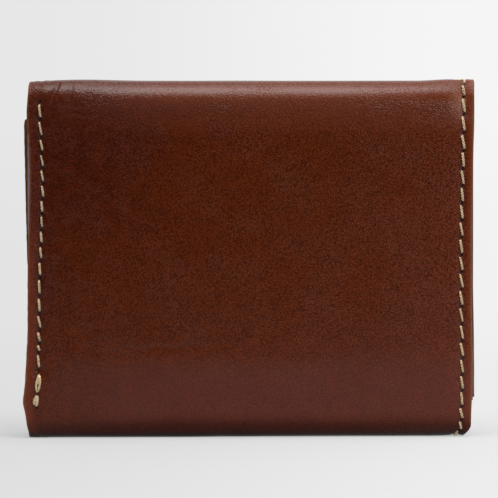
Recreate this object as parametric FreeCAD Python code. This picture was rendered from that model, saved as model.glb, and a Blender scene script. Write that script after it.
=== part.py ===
import FreeCAD, Part
import math
import os

# Trifold wallet, closed and standing on its bottom fold. Millimetres, +Z up, origin on the floor under
# the middle. The cover leather runs: inner leaf - bottom fold - centre panel (front, -Y) - top fold -
# outer leaf (back, +Y). Depths below are measured back from the front face of the centre panel.

os.makedirs("parts", exist_ok=True)

# ---- driving dimensions ----
COVER_LEFT = -50.8  # left edge of the centre panel
COVER_RIGHT = 51.2  # right edge of the centre panel
HEIGHT = 81.4  # bottom fold to top fold
THICK = 18.0  # closed thickness
FOLD_R = 4.0  # outside radius of every rounded fold corner
LEATHER = 1.2  # cover leather
LINING = 0.3  # woven lining glued inside the cover
NOTE_GAP = 0.4  # empty banknote compartment behind the lining
DIVIDER = 0.7  # inner wall of the banknote compartment
STAY = 8.5  # inner layers stop this far from a fold

INNER_BACK = 11.0  # depth of the inner leaf's outer leather face
INNER_TOP = 60.0  # free edge of the inner leaf
INNER_POCKET = 0.8  # card pocket layer on the inner leaf
CENTRE_POCKET = 1.0  # card pocket layer on the centre panel

LEAF_LEFT = -51.5  # the outer leaf is a little wider than the centre panel
LEAF_RIGHT = 51.5
LEAF_BOTTOM = 8.6  # free edge of the outer leaf
LEAF_TOP = 72.5  # where the wide part of the outer leaf ends below the fold
LEAF_SKEW = 1.3  # degrees the hanging leaf is turned, top to the left
NECK_LEFT = -50.4
NECK_RIGHT = 50.8

WINDOW_FRAME = 1.0  # leather frame round the clear window
WINDOW = 0.4  # clear sheet
WINDOW_BACK = 0.8  # pocket wall behind the window

SEAM_INSET = 2.45  # right seam from the edge
LEFT_INSET = 2.8  # left seam from the edge
STITCH_PITCH = 4.1
STITCH_LONG = 3.3
STITCH_WIDE = 0.7
STITCH_DEEP = 0.3  # stitches lie in a groove of this depth, flush with the leather
GROOVE_WIDE = 1.3

MIDDLE_Z = (LEAF_BOTTOM + LEAF_TOP) / 2


def vec(x, depth, z):
    """A point from X, depth behind the front face, and Z."""
    return FreeCAD.Vector(x, depth - THICK / 2, z)


def block(x0, x1, d0, d1, z0, z1):
    """A box between two X, two depths and two heights."""
    return Part.makeBox(x1 - x0, d1 - d0, z1 - z0, vec(x0, d0, z0))


def rounded(x0, x1, d0, d1, z0, z1, radius, corners):
    """A flat plate with the named corners rounded: bl, br, tl, tr as seen from the front."""
    plate = block(x0, x1, d0, d1, z0, z1)
    edges = []
    for edge in plate.Edges:
        a = edge.Vertexes[0].Point
        b = edge.Vertexes[1].Point
        if abs(a.y - b.y) < 1e-6:
            continue
        side = "l" if a.x < (x0 + x1) / 2 else "r"
        level = "b" if a.z < (z0 + z1) / 2 else "t"
        if level + side in corners:
            edges.append(edge)
    return plate.makeFillet(radius, edges)


def quarter(x0, x1, depth, z, r_in, r_out, start, sweep=90.0):
    """A rounded fold strip: part of a ring along X round (depth, z). Angles run from +Y up to +Z."""
    a0 = math.radians(start)
    a1 = math.radians(start + sweep)
    am = (a0 + a1) / 2

    def at(r, a):
        return vec(x0, depth + r * math.cos(a), z + r * math.sin(a))

    outside = Part.Arc(at(r_out, a0), at(r_out, am), at(r_out, a1)).toShape()
    end = Part.makeLine(at(r_out, a1), at(r_in, a1))
    inside = Part.Arc(at(r_in, a1), at(r_in, am), at(r_in, a0)).toShape()
    begin = Part.makeLine(at(r_in, a0), at(r_out, a0))
    face = Part.Face(Part.Wire([outside, end, inside, begin]))
    return face.extrude(FreeCAD.Vector(x1 - x0, 0, 0))


def stitches(x, d0, d1, z0, z1, pitch=STITCH_PITCH, slant=6.0, length=STITCH_LONG):
    """A straight row of separate slanted stitches up a flat panel."""
    count = int((z1 - z0) / pitch)
    first = (z0 + z1) / 2 - (count - 1) * pitch / 2
    row = []
    for i in range(count):
        z = first + i * pitch
        one = block(x - STITCH_WIDE / 2, x + STITCH_WIDE / 2, d0, d1, z - length / 2, z + length / 2)
        one.rotate(vec(x, d0, z), FreeCAD.Vector(0, 1, 0), -slant)
        row.append(one)
    return row


def cross_stitches(x0, x1, d0, d1, z, pitch=STITCH_PITCH, length=STITCH_LONG):
    """A straight row of separate stitches across a flat panel."""
    count = int((x1 - x0) / pitch)
    first = (x0 + x1) / 2 - (count - 1) * pitch / 2
    row = []
    for i in range(count):
        x = first + i * pitch
        row.append(block(x - length / 2, x + length / 2, d0, d1, z - STITCH_WIDE / 2, z + STITCH_WIDE / 2))
    return row


def fold_stitch(x, depth, z, start):
    """One stitch bent round a fold corner, lying in its groove."""
    half = STITCH_WIDE / 2
    return quarter(x - half, x + half, depth, z, FOLD_R - STITCH_DEEP, FOLD_R, start + 14.0, 62.0)


def fold_leather(x0, x1, depth, z, start, seam_x):
    """The cover leather round one fold corner, with the groove of the seam that crosses it."""
    strip = quarter(x0, x1, depth, z, FOLD_R - LEATHER, FOLD_R, start)
    half = GROOVE_WIDE / 2
    return strip.cut(quarter(seam_x - half, seam_x + half, depth, z, FOLD_R - STITCH_DEEP, FOLD_R + 1, start))


def groove(x, d0, d1, z0, z1):
    """The shallow groove that a seam lies in."""
    return block(x - GROOVE_WIDE / 2, x + GROOVE_WIDE / 2, d0, d1, z0, z1)


def skewed(shape):
    """Turns a part of the outer leaf in its own plane, as the closed leaf hangs."""
    shape.rotate(vec(0, THICK, MIDDLE_Z), FreeCAD.Vector(0, 1, 0), -LEAF_SKEW)
    return shape


def save(name, shape):
    shape.exportStep("parts/" + name + ".step")


def save_row(name, row):
    Part.makeCompound(row).exportStep("parts/" + name + ".step")


# ---- shared positions ----
fold_top = HEIGHT - FOLD_R
right_seam = COVER_RIGHT - SEAM_INSET
left_seam = COVER_LEFT + LEFT_INSET
lining_in = LEATHER + LINING
divider_in = lining_in + NOTE_GAP
pocket_in = divider_in + DIVIDER
stay_top = HEIGHT - STAY

# ---- centre panel ----
cover = block(COVER_LEFT, COVER_RIGHT, 0, LEATHER, FOLD_R, fold_top)
cover = cover.cut(groove(right_seam, -1, STITCH_DEEP, 0, HEIGHT))
cover = cover.cut(groove(left_seam, -1, STITCH_DEEP, 6.4, 76.0))
save("center_cover", cover)
save("center_lining", block(COVER_LEFT + 0.8, COVER_RIGHT, LEATHER, lining_in, FOLD_R, fold_top))
save("center_right_welt", block(COVER_RIGHT - 4.2, COVER_RIGHT, lining_in, divider_in, STAY, stay_top))
save("center_divider", rounded(COVER_LEFT + 1.6, COVER_RIGHT, divider_in, pocket_in, STAY, stay_top,
                               2.0, ("bl", "tl")))
pocket_left = COVER_LEFT + 3.2
pocket_right = COVER_RIGHT - 0.4
mouths = (67.0, 56.5, 46.0)
for i, mouth in enumerate(mouths):
    near = pocket_in + i * CENTRE_POCKET
    pocket = rounded(pocket_left, pocket_right, near, near + CENTRE_POCKET, STAY, mouth, 1.5, ("tl", "tr"))
    if i == len(mouths) - 1:
        # thumb notch in the front pocket's mouth
        pocket = pocket.cut(Part.makeCylinder(9.0, 4, vec(0, near - 1, mouth + 3.0), FreeCAD.Vector(0, 1, 0)))
        pocket = pocket.cut(groove(pocket_left + 2.2, near + CENTRE_POCKET - STITCH_DEEP, 20, 0, 90))
        pocket = pocket.cut(groove(pocket_right - 2.2, near + CENTRE_POCKET - STITCH_DEEP, 20, 0, 90))
    save("center_card_pocket_%d" % (i + 1), pocket)
front = pocket_in + len(mouths) * CENTRE_POCKET
rows = stitches(pocket_left + 2.2, front - STITCH_DEEP, front, STAY, mouths[-1])
rows += stitches(pocket_right - 2.2, front - STITCH_DEEP, front, STAY, mouths[-1])
save_row("center_pocket_seam", rows)
save_row("center_right_seam", stitches(right_seam, 0, STITCH_DEEP, FOLD_R, fold_top))
left_row = stitches(left_seam, 0, STITCH_DEEP, 15.0, 76.0)
# doubled back-tack at the bottom of the left seam
left_row += stitches(left_seam - 0.1, 0, STITCH_DEEP, 6.6, 15.0, 2.0, 0.0, 1.7)
save_row("center_left_seam", left_row)

# ---- bottom fold ----
inner_right = COVER_RIGHT - 0.4
inner_left = COVER_LEFT + 0.5
spine_end = INNER_BACK - FOLD_R
save("bottom_front_bend", fold_leather(COVER_LEFT, COVER_RIGHT, FOLD_R, FOLD_R, 180.0, right_seam))
save("bottom_front_bend_lining", quarter(COVER_LEFT + 0.8, COVER_RIGHT, FOLD_R, FOLD_R,
                                         FOLD_R - lining_in, FOLD_R - LEATHER, 180.0))
save("bottom_front_bend_seam", fold_stitch(right_seam, FOLD_R, FOLD_R, 180.0))
spine = block(COVER_LEFT, COVER_RIGHT, FOLD_R, spine_end, 0, LEATHER)
half_groove = GROOVE_WIDE / 2
spine = spine.cut(block(right_seam - half_groove, right_seam + half_groove, 0, 20, -1, STITCH_DEEP))
save("bottom_spine_cover", spine)
save("bottom_spine_lining", block(COVER_LEFT + 0.8, COVER_RIGHT, FOLD_R, spine_end, LEATHER, lining_in))
save("bottom_spine_seam", block(right_seam - STITCH_WIDE / 2, right_seam + STITCH_WIDE / 2,
                                FOLD_R + 0.3, spine_end - 0.3, 0, STITCH_DEEP))

# ---- inner leaf, folded up behind the centre panel ----
inner_lining = INNER_BACK - lining_in
inner_divider = INNER_BACK - pocket_in
save("bottom_rear_bend", fold_leather(COVER_LEFT, COVER_RIGHT, spine_end, FOLD_R, 270.0, right_seam))
save("bottom_rear_bend_lining", quarter(COVER_LEFT + 0.8, COVER_RIGHT, spine_end, FOLD_R,
                                        FOLD_R - lining_in, FOLD_R - LEATHER, 270.0))
save("bottom_rear_bend_seam", fold_stitch(right_seam, spine_end, FOLD_R, 270.0))
cover = rounded(inner_left, inner_right, INNER_BACK - LEATHER, INNER_BACK, FOLD_R, INNER_TOP,
                2.0, ("tl", "tr"))
cover = cover.cut(groove(right_seam, INNER_BACK - STITCH_DEEP, 20, 0, 57.5))
cover = cover.cut(groove(left_seam, INNER_BACK - STITCH_DEEP, 20, 6.0, 57.5))
save("inner_leaf_cover", cover)
save("inner_leaf_lining", block(inner_left + 0.8, inner_right, inner_lining, INNER_BACK - LEATHER,
                                FOLD_R, INNER_TOP - 1.0))
save("inner_leaf_right_welt", block(inner_right - 4.0, inner_right, INNER_BACK - divider_in, inner_lining,
                                    STAY, INNER_TOP - 2.0))
save("inner_leaf_divider", rounded(inner_left + 1.2, inner_right, inner_divider, INNER_BACK - divider_in,
                                   STAY, INNER_TOP - 0.6, 2.0, ("bl", "tl")))
leaf_mouths = (56.0, 46.5, 37.0)
leaf_left = inner_left + 3.0
leaf_right = inner_right - 0.3
for i, mouth in enumerate(leaf_mouths):
    far = inner_divider - i * INNER_POCKET
    pocket = rounded(leaf_left, leaf_right, far - INNER_POCKET, far, STAY, mouth, 1.5, ("tl", "tr"))
    if i == len(leaf_mouths) - 1:
        pocket = pocket.cut(groove(leaf_left + 2.2, 0, far - INNER_POCKET + STITCH_DEEP, 0, 90))
        pocket = pocket.cut(groove(leaf_right - 2.2, 0, far - INNER_POCKET + STITCH_DEEP, 0, 90))
    save("inner_leaf_card_pocket_%d" % (i + 1), pocket)
near = inner_divider - len(leaf_mouths) * INNER_POCKET
rows = stitches(leaf_left + 2.2, near, near + STITCH_DEEP, STAY, leaf_mouths[-1])
rows += stitches(leaf_right - 2.2, near, near + STITCH_DEEP, STAY, leaf_mouths[-1])
save_row("inner_leaf_pocket_seam", rows)
save_row("inner_leaf_right_seam", stitches(right_seam, INNER_BACK - STITCH_DEEP, INNER_BACK, FOLD_R, 57.5))
save_row("inner_leaf_left_seam", stitches(left_seam, INNER_BACK - STITCH_DEEP, INNER_BACK, 6.5, 57.0))

# ---- top fold ----
top_end = THICK - FOLD_R
save("top_front_bend", fold_leather(COVER_LEFT, COVER_RIGHT, FOLD_R, fold_top, 90.0, right_seam))
save("top_front_bend_lining", quarter(COVER_LEFT + 0.8, COVER_RIGHT, FOLD_R, fold_top,
                                      FOLD_R - lining_in, FOLD_R - LEATHER, 90.0))
save("top_front_bend_seam", fold_stitch(right_seam, FOLD_R, fold_top, 90.0))
spine = block(COVER_LEFT, COVER_RIGHT, FOLD_R, top_end, HEIGHT - LEATHER, HEIGHT)
spine = spine.cut(block(right_seam - half_groove, right_seam + half_groove, 0, 20,
                        HEIGHT - STITCH_DEEP, HEIGHT + 1))
save("top_spine_cover", spine)
save("top_spine_lining", block(COVER_LEFT + 0.8, COVER_RIGHT, FOLD_R, top_end,
                               HEIGHT - lining_in, HEIGHT - LEATHER))
row = []
for i in range(2):
    mid = THICK / 2 + (i - 0.5) * STITCH_PITCH
    row.append(block(right_seam - STITCH_WIDE / 2, right_seam + STITCH_WIDE / 2,
                     mid - STITCH_LONG / 2, mid + STITCH_LONG / 2, HEIGHT - STITCH_DEEP, HEIGHT))
save_row("top_spine_seam", row)

# ---- outer leaf, hanging from the top fold at the back ----
save("top_rear_bend", fold_leather(COVER_LEFT, COVER_RIGHT, top_end, fold_top, 0.0, right_seam))
save("top_rear_bend_lining", quarter(COVER_LEFT + 0.8, COVER_RIGHT, top_end, fold_top,
                                     FOLD_R - lining_in, FOLD_R - LEATHER, 0.0))
save("top_rear_bend_seam", fold_stitch(right_seam, top_end, fold_top, 0.0))
leaf_right_seam = LEAF_RIGHT - 2.8
leaf_left_seam = LEAF_LEFT + 2.8
cover = skewed(rounded(LEAF_LEFT, LEAF_RIGHT, THICK - LEATHER, THICK, LEAF_BOTTOM, LEAF_TOP,
                       1.0, ("bl", "br", "tl", "tr")))
cover = cover.fuse(block(NECK_LEFT, NECK_RIGHT, THICK - LEATHER, THICK, LEAF_TOP - 5, fold_top)).removeSplitter()
cover = cover.cut(skewed(groove(leaf_right_seam, THICK - STITCH_DEEP, 30, 10.5, 71.5)))
cover = cover.cut(skewed(groove(leaf_left_seam, THICK - STITCH_DEEP, 30, 10.5, 71.5)))
save("outer_leaf_cover", cover)
leaf_lining = THICK - lining_in
save("outer_leaf_lining", skewed(block(LEAF_LEFT + 0.8, LEAF_RIGHT - 0.2, leaf_lining, THICK - LEATHER,
                                       LEAF_BOTTOM + 1.0, LEAF_TOP)))
save("outer_leaf_right_welt", skewed(block(LEAF_RIGHT - 4.4, LEAF_RIGHT - 0.2, THICK - divider_in,
                                           leaf_lining, LEAF_BOTTOM + 1.2, LEAF_TOP)))
save("outer_leaf_divider", skewed(rounded(LEAF_LEFT + 1.6, LEAF_RIGHT - 0.2, THICK - pocket_in,
                                          THICK - divider_in, LEAF_BOTTOM + 0.6, LEAF_TOP,
                                          2.0, ("bl", "tl"))))
back = THICK - pocket_in
frame_left = LEAF_LEFT + 3.4
frame_right = LEAF_RIGHT - 0.6
frame_bottom = LEAF_BOTTOM + 0.8
frame_top = LEAF_TOP - 2.0
save("outer_leaf_pocket_back", skewed(block(frame_left, frame_right, back - WINDOW_BACK, back,
                                            frame_bottom, frame_top)))
save("outer_leaf_window", skewed(block(frame_left + 3.6, frame_right - 3.6, back - WINDOW_BACK - WINDOW,
                                       back - WINDOW_BACK, frame_bottom + 3.6, frame_top - 3.0)))
near = back - WINDOW_BACK - WINDOW - WINDOW_FRAME
edge = rounded(frame_left, frame_right, near, near + WINDOW_FRAME, frame_bottom, frame_top, 1.5,
               ("tl", "tr", "bl", "br"))
hole = rounded(frame_left + 9.5, frame_right - 9.5, near - 1, near + WINDOW_FRAME + 1,
               frame_bottom + 9.0, frame_top - 8.5, 3.0, ("tl", "tr", "bl", "br"))
frame_groove_in = near + STITCH_DEEP
edge = edge.cut(hole)
edge = edge.cut(groove(frame_left + 2.2, 0, frame_groove_in, 0, 90))
edge = edge.cut(groove(frame_right - 2.2, 0, frame_groove_in, 0, 90))
edge = edge.cut(block(-60, 60, 0, frame_groove_in, frame_bottom + 2.2 - half_groove,
                      frame_bottom + 2.2 + half_groove))
save("outer_leaf_window_frame", skewed(edge))
spacer = rounded(frame_left, frame_right, near + WINDOW_FRAME, back - WINDOW_BACK, frame_bottom, frame_top,
                 1.5, ("tl", "tr", "bl", "br"))
# the frame's turned-under border, open at the top where a card slides in behind the window
spacer = spacer.cut(block(frame_left + 3.5, frame_right - 3.5, 0, 30, frame_bottom + 3.5, 90))
save("outer_leaf_window_border", skewed(spacer))
rows = stitches(frame_left + 2.2, near, frame_groove_in, frame_bottom + 4.0, frame_top)
rows += stitches(frame_right - 2.2, near, frame_groove_in, frame_bottom + 4.0, frame_top)
rows += cross_stitches(frame_left + 4.0, frame_right - 4.0, near, frame_groove_in, frame_bottom + 2.2)
for one in rows:
    skewed(one)
save_row("outer_leaf_frame_seam", rows)
for side, x in (("right", leaf_right_seam), ("left", leaf_left_seam)):
    rows = stitches(x, THICK - STITCH_DEEP, THICK, 10.5, 71.5)
    for one in rows:
        skewed(one)
    save_row("outer_leaf_" + side + "_seam", rows)
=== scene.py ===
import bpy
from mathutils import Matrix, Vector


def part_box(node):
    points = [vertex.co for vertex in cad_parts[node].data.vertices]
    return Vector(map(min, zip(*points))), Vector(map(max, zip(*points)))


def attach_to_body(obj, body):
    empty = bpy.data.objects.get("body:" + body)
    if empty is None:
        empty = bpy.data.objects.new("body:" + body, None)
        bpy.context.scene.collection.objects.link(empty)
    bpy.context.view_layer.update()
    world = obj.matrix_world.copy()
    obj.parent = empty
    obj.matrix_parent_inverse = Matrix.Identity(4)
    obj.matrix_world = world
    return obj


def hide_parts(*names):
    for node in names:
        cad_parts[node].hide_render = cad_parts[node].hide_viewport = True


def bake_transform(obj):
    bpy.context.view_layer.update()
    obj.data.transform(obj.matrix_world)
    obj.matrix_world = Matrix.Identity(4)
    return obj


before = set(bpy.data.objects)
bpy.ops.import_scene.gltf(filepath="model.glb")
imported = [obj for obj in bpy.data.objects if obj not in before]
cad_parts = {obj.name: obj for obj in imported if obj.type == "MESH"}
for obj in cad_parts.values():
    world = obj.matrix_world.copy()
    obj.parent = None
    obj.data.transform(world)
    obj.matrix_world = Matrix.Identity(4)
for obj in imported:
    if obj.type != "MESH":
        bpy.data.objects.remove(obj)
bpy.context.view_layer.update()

import functools
import math

import bmesh
import bpy
import numpy as np
from mathutils import Vector

# A closed trifold wallet. Shapes are worked out in millimetres, as depth behind the front face of the
# centre panel, and go into the meshes in metres.
MM = 0.001

# ---- sizes, read from the frame where it has them ----
cover_low, cover_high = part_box("center_cover")
spine_high, leaf_high, inner_high = (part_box(node)[1] for node in (
    "top_spine_cover", "outer_leaf_cover", "inner_leaf_cover"))
FRONT_Y = cover_low.y / MM
LEFT = cover_low.x / MM
RIGHT = cover_high.x / MM
FOLD_R = cover_low.z / MM
LEATHER = (cover_high.y - cover_low.y) / MM
HEIGHT = spine_high.z / MM
THICK = leaf_high.y / MM - FRONT_Y
INNER_BACK = inner_high.y / MM - FRONT_Y
INNER_TOP = inner_high.z / MM
LEAF_BOTTOM = 8.6
LEAF_TOP = 72.5
LEAF_MIDDLE = (LEAF_BOTTOM + LEAF_TOP) / 2
SKEW = math.radians(1.3)
LINING = 0.3
FACE = HEIGHT - 2 * FOLD_R
QUARTER = math.pi * FOLD_R / 2
HALF_SPINE = (INNER_BACK - 2 * FOLD_R) / 2
TOP_SPINE = THICK - 2 * FOLD_R

# Distances along the cover leather, from the middle of the bottom fold forwards, up the front, over the
# top and down the outer leaf; the inner leaf is on the negative side.
S_FACE = HALF_SPINE + QUARTER
S_TOP_BEND = S_FACE + FACE
S_TOP = S_TOP_BEND + QUARTER
S_REAR_BEND = S_TOP + TOP_SPINE
S_LEAF = S_REAR_BEND + QUARTER
S_END = S_LEAF + HEIGHT - FOLD_R - LEAF_BOTTOM + 0.5
S_INNER = -HALF_SPINE - QUARTER
S_INNER_END = S_INNER - (INNER_TOP - FOLD_R)
S_SPINE_MIDDLE = S_TOP + TOP_SPINE / 2

RIGHT_INSET = 2.45
LEFT_INSET = 2.8
RIGHT_SEAM = RIGHT - RIGHT_INSET
LEFT_SEAM = LEFT + LEFT_INSET
RIGHT_PITCH = 3.94
S_FIRST_HOLE = 81.83
OVER_TOP_PITCH = 3.4
FLARE_POINT = 12
LEAF_STEP = (S_LEAF + 4.6, S_LEAF + 5.1)  # where the leather widens from the fold to the outer leaf
EDGE_REACH = 11.0  # the edges' wander dies out this far in
LEFT_SEAM_TOP = S_FACE + 71.9
# The back-tack's stitches: from, to (across from the seam, up the face) and how far each bows out. Then
# its stray needle holes, with their sizes
BACK_TACK = [((0.3, 10.7), (0.0, 6.1), -0.46), ((0.32, 10.6), (0.05, 6.1), 0.27),
             ((0.3, 10.3), (0.1, 8.0), 0.0), ((0.1, 5.75), (-0.4, 3.3), -0.3),
             ((0.14, 5.7), (0.0, 3.1), 0.16), ((0.1, 5.3), (-0.2, 3.0), 0.0)]
STRAY_HOLES = [(-0.02, 7.5, 0.8), (-0.2, 3.0, 1.0), (-0.75, 1.9, 0.8), (-1.1, 0.8, 0.35), (0.05, 69.0, 1.5)]


def smooth(value, low, high):
    """0 below low, 1 above high, smooth between; the limits may be given either way round."""
    t = np.clip((value - low) / (high - low), 0, 1)
    return t * t * (3 - 2 * t)


def bump(value, centre, width):
    return np.exp(-(((value - centre) / width) ** 2))


def hills(x, y, cell, seed):
    """Smooth random heights from -1 to 1, about one hill for each cell."""
    grid = np.random.default_rng(seed).uniform(-1, 1, (64, 64))
    u, v = x / cell + 31.3, y / cell + 17.7
    i, j = np.floor(u).astype(int), np.floor(v).astype(int)
    fu, fv = smooth(u - i, 0, 1), smooth(v - j, 0, 1)
    low = grid[i % 64, j % 64] * (1 - fu) + grid[(i + 1) % 64, j % 64] * fu
    high = grid[i % 64, (j + 1) % 64] * (1 - fu) + grid[(i + 1) % 64, (j + 1) % 64] * fu
    return low * (1 - fv) + high * fv


# ---- the cover's path, seen from the side ----
def line(start, end, d, z, dd, dz, nd, nz):
    return ("line", start, end, d, z, dd, dz, nd, nz)


def arc(start, end, d, z, angle, turn):
    return ("arc", start, end, d, z, math.radians(angle), turn)


MIDDLE_D = INNER_BACK / 2
TOP_Z = HEIGHT - FOLD_R
PATH = [
    line(S_INNER_END - 5, S_INNER, INNER_BACK, FOLD_R + S_INNER, 0, -1, 1, 0),
    arc(S_INNER, -HALF_SPINE, INNER_BACK - FOLD_R, FOLD_R, 360, -1),
    line(-HALF_SPINE, HALF_SPINE, MIDDLE_D, 0, -1, 0, 0, -1),
    arc(HALF_SPINE, S_FACE, FOLD_R, FOLD_R, 270, -1),
    line(S_FACE, S_TOP_BEND, 0, FOLD_R - S_FACE, 0, 1, -1, 0),
    arc(S_TOP_BEND, S_TOP, FOLD_R, TOP_Z, 180, -1),
    line(S_TOP, S_REAR_BEND, FOLD_R - S_TOP, HEIGHT, 1, 0, 0, 1),
    arc(S_REAR_BEND, S_LEAF, THICK - FOLD_R, TOP_Z, 90, -1),
    line(S_LEAF, S_END + 5, THICK, TOP_Z + S_LEAF, 0, -1, 1, 0),
]


def along(s):
    """Depth, height and outward normal of the cover's outer face at distance s."""
    d, z, nd, nz = (np.zeros_like(s) for _ in range(4))
    for part in PATH:
        kind, start, end, pd, pz = part[:5]
        here = (s >= start) & (s <= end)
        if kind == "line":
            dd, dz, md, mz = part[5:]
            d[here] = pd + dd * s[here]
            z[here] = pz + dz * s[here]
            nd[here], nz[here] = md, mz
        else:
            angle = part[5] + part[6] * (s[here] - start) / FOLD_R
            nd[here], nz[here] = np.cos(angle), np.sin(angle)
            d[here] = pd + FOLD_R * nd[here]
            z[here] = pz + FOLD_R * nz[here]
    return d, z, nd, nz


def left_shift(s):
    """How far the left edge of the leather lies from straight, to the right: hollow high on the face and
    flared out to a point just above the bottom fold."""
    hollow = 0.45 * bump(s, 62, 13) - 0.26 * bump(s, 77.5, 3.4)
    point = FLARE_POINT
    flare = np.where(s > point, -0.8 * bump(s, point, 10) - 0.3 * bump(s, point, 2.4),
                     -0.75 * bump(s, point, 5) - 0.35 * bump(s, point, 2))
    corner = 0.3 * smooth(s, 78, 86) + 0.2 * smooth(s, 6.5, 4)
    neck = -0.5 * smooth(s, S_SPINE_MIDDLE, S_LEAF)
    wide = -0.6 * smooth(s, *LEAF_STEP)
    inner = 0.5 * smooth(s, -4, -9)
    ragged = 0.05 * hills(s, s * 0, 1.3, 4) + 0.04 * hills(s, s * 0, 5, 5)
    return hollow + flare + corner + neck + wide + inner + ragged


def right_shift(s):
    """The same for the right edge, which leans in a little down the face and turns in under it."""
    side = -0.33 * smooth(s, 80, 64) - 0.22 * smooth(s, 66, 50)
    side = side + 0.15 * smooth(s, 36, 20) - 0.24 * smooth(s, 15, 7)
    under = -1.5 * smooth(s, 6.7, 2) * smooth(s, -7.5, -2)
    corner = -0.5 * smooth(s, 88, 95) + 0.1 * smooth(s, S_SPINE_MIDDLE, S_LEAF)
    wide = 0.7 * smooth(s, *LEAF_STEP) + 0.2 * smooth(s, S_END, S_END - 16)
    inner = 0.15 * smooth(s, -4, -9)
    return side + under + corner + wide + inner + 0.04 * hills(s, s * 0, 4, 6)


def right_pitch(s):
    """The stitches are a little longer near the top and shorter round the bottom."""
    pitch = RIGHT_PITCH + 0.25 * bump(s, 74, 7) - 0.22 * smooth(s, 26, 18)
    return pitch - 0.75 * smooth(s, 12, 8) * smooth(s, -12, -8)


def right_holes():
    """The seam through all three panels, pricked both ways from a hole at the top fold."""
    holes = [S_FIRST_HOLE, S_FIRST_HOLE + OVER_TOP_PITCH]
    while holes[-1] < S_END - 5.4:
        holes.append(holes[-1] + RIGHT_PITCH)
    while holes[0] > S_INNER_END + 5.8:
        holes.insert(0, holes[0] - float(right_pitch(np.array(holes[0] - 2))))
    return np.array(holes)


def left_holes():
    """The centre panel's left seam: uneven, down to where its back-tack begins."""
    holes = [LEFT_SEAM_TOP + 0.9, LEFT_SEAM_TOP - 3.1]
    while holes[-1] > S_FACE + 22.5:
        s = holes[-1]
        holes.append(s - 3.5 - 0.72 * bump(s, 39.3, 6.5) - 0.7 * bump(s, 78, 3) + 0.05 * math.sin(2.6 * s))
    return np.array(holes + [S_FACE + 17.5, S_FACE + 15.45, S_FACE + 11.5])


def leaf_left_holes():
    return np.arange(S_LEAF + 7.5, S_END - 1.8, RIGHT_PITCH)


def inner_left_holes():
    return np.arange(S_INNER_END + 2.4, S_INNER - 2.5, RIGHT_PITCH)


def right_seam(s):
    return RIGHT_SEAM + 0.06 * np.sin(s / 9.0)


def left_seam(s):
    """The left seam wanders on the centre panel."""
    return LEFT_SEAM + 0.33 * bump(s, 61, 15) - 0.2 * bump(s, 34, 8) + 0.05 * np.sin(s / 5.0)


SEAMS = [(right_seam, right_holes()), (left_seam, left_holes()),
         (left_seam, leaf_left_holes()), (left_seam, inner_left_holes())]


def holes_at(x, s, size):
    """1 in the middle of a needle hole, fading to 0 around it."""
    out = np.zeros(np.broadcast(x, s).shape)
    for seam, holes in SEAMS:
        near = np.abs(s[..., None] - holes).min(-1)
        out = np.maximum(out, np.exp(-(((x - seam(s)) / size) ** 2 + (near / size) ** 2)))
    for across, up, wide in STRAY_HOLES:
        far = ((x - LEFT_SEAM - across) ** 2 + (s - S_FACE - up) ** 2) / (size * wide) ** 2
        out = np.maximum(out, 0.8 * np.exp(-far * 1.6))
    return out


# Fine creases in the face: across, along, length, slope in degrees, depth, width
CREASES = [
    (-19, S_FACE + 16.6, 26, 3, 0.085, 0.6), (-30, S_FACE + 15.2, 9, -5, 0.07, 0.45),
    (-44.5, S_TOP_BEND + 1.8, 5.2, 80, 0.36, 0.42), (-41, S_TOP_BEND - 1.5, 4.5, 12, 0.08, 0.3),
    (-38, S_TOP_BEND - 3.6, 9, 4, 0.06, 0.35), (-43.5, S_TOP_BEND - 0.4, 3, -40, 0.07, 0.3),
    (-46, S_TOP_BEND + 2.6, 3, 35, 0.08, 0.3), (-36, S_TOP_BEND + 0.8, 5, -16, 0.05, 0.35),
    (-40.9, S_TOP_BEND + 1.8, 4.6, 98, 0.22, 0.6), (-42.4, S_TOP_BEND - 1.6, 4, 128, 0.09, 0.36),
]

# Wrinkles beside the left seam: how many, then the ranges of the same six, with the height up the face
WRINKLES = [(26, (-46, -33), (30, 70), (3, 8), (-16, 12), (0.02, 0.05), (0.3, 0.5)),
            (10, (-45, -28), (8, 24), (3, 9), (-14, 10), (0.02, 0.05), (0.3, 0.6))]


def creases(x, s):
    """Depth of the creases and wrinkles, each a soft groove that waves a little."""
    rng = np.random.default_rng(11)
    made = list(CREASES)
    for count, *ranges in WRINKLES:
        for _ in range(count):
            across, up, *rest = (rng.uniform(*limits) for limits in ranges)
            made.append((across, S_FACE + up, *rest))
    out = np.zeros(np.broadcast(x, s).shape)
    for cx, cs, length, slope, depth, width in made:
        c, n = math.cos(math.radians(slope)), math.sin(math.radians(slope))
        u = (x - cx) * c + (s - cs) * n
        v = -(x - cx) * n + (s - cs) * c + 0.4 * np.sin(u * 0.9)
        out -= depth * np.exp(-((v / width) ** 2)) * np.exp(-((2 * u / length) ** 4))
    return out


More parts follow.
